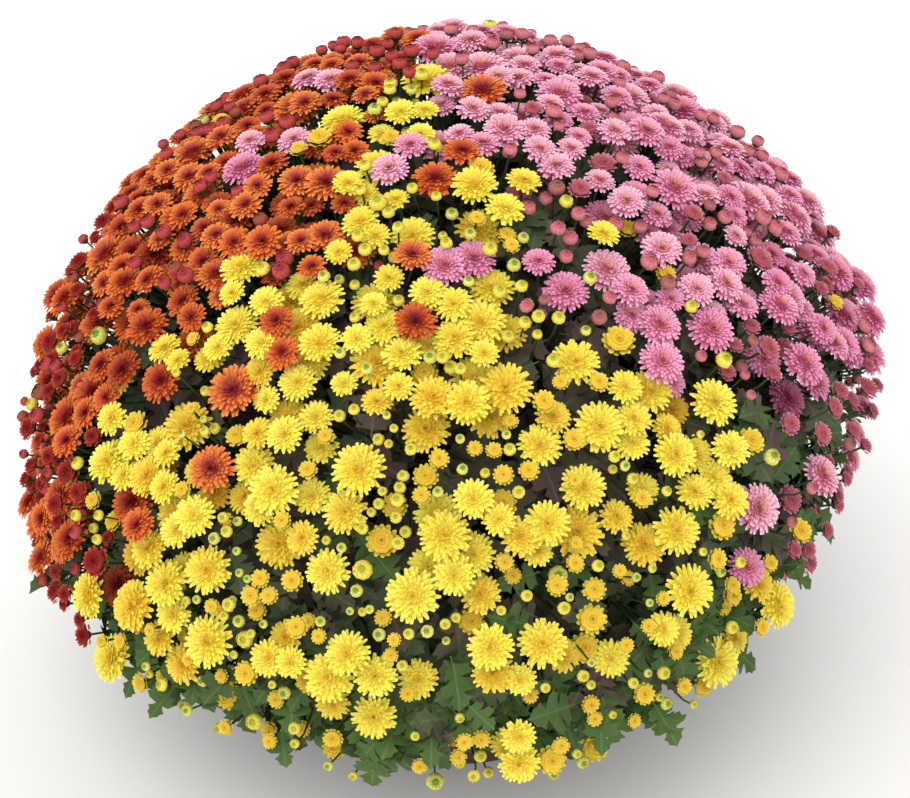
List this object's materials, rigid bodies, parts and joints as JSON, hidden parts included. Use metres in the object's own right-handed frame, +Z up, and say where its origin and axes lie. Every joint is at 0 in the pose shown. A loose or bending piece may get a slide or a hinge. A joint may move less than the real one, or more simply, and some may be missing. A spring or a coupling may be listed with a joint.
{
  "type": "pot chrysanthemum",
  "caption": "Dome-shaped pot chrysanthemum in bloom, three garden mums of different colours in one round pot.",
  "frame": {"origin": "centre of the pot's flat foot, on the surface it stands on", "axes": "+Z straight up through the pot; the side with the yellow plant faces -Y; the pink plant is towards +X"},
  "size_m": [0.6574, 0.6404, 0.5462],
  "materials": {
    "petals_yellow": "soft matt petals, bright yellow with a golden centre",
    "petals_orange": "soft matt petals, rusty orange with a dark red centre",
    "petals_pink": "soft matt petals, mauve pink with a salmon centre",
    "foliage": "dark green lobed leaves and green stems, satin",
    "soil": "moist dark potting soil",
    "pot": "dark plum-brown nursery pot, satin"
  },
  "bodies": {
    "root": {"pot": "pot", "soil": "soil", "spray_orange_01": "petals_orange", "spray_orange_02": "petals_orange", "spray_orange_03": "petals_orange", "spray_orange_04": "petals_orange", "spray_orange_05": "petals_orange", "spray_orange_06": "petals_orange", "spray_orange_07": "petals_orange", "spray_orange_08": "petals_orange", "spray_orange_09": "petals_orange", "spray_orange_10": "petals_orange", "spray_orange_11": "petals_orange", "spray_orange_12": "petals_orange", "spray_orange_13": "petals_orange", "spray_pink_01": "petals_pink", "spray_pink_02": "petals_pink", "spray_pink_03": "petals_pink", "spray_pink_04": "petals_pink", "spray_pink_05": "petals_pink", "spray_pink_06": "petals_pink", "spray_pink_07": "petals_pink", "spray_pink_08": "petals_pink", "spray_pink_09": "petals_pink", "spray_pink_10": "petals_pink", "spray_pink_11": "petals_pink", "spray_pink_12": "petals_pink", "spray_pink_13": "petals_pink", "spray_pink_14": "petals_pink", "spray_pink_15": "petals_pink", "spray_pink_16": "petals_pink", "spray_pink_17": "petals_pink", "spray_yellow_01": "petals_yellow", "spray_yellow_02": "petals_yellow", "spray_yellow_03": "petals_yellow", "spray_yellow_04": "petals_yellow", "spray_yellow_05": "petals_yellow", "spray_yellow_06": "petals_yellow", "spray_yellow_07": "petals_yellow", "spray_yellow_08": "petals_yellow", "spray_yellow_09": "petals_yellow", "spray_yellow_10": "petals_yellow"}
  },
  "joints": []
}
